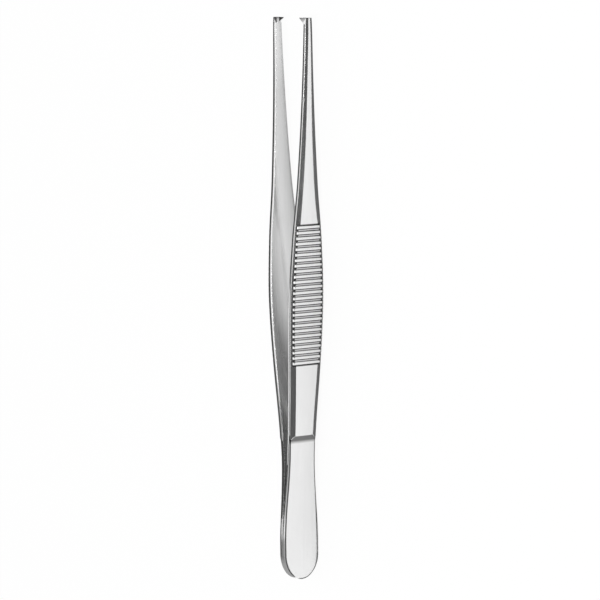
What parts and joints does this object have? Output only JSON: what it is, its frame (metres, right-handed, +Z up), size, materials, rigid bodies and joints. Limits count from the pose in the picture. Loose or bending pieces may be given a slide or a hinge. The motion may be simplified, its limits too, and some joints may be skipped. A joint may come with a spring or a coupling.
{
  "type": "thumb forceps",
  "caption": "Thumb forceps for holding tissue: two sprung steel arms welded at the butt, with serrated grips and interlocking teeth at the tips.",
  "frame": {"origin": "middle of the forceps' length, midway between the arms, on the surface they lie on", "axes": "+X along the forceps from the butt to the tips, +Y from the arm with two teeth to the arm with one tooth, +Z up from the surface, across the width of the arms"},
  "size_m": [0.145, 0.015, 0.0106],
  "materials": {
    "polished_steel": "polished stainless steel, bright with a very fine satin grain"
  },
  "bodies": {
    "root": {"one_tooth_arm": "polished_steel", "two_tooth_arm": "polished_steel"}
  },
  "joints": []
}
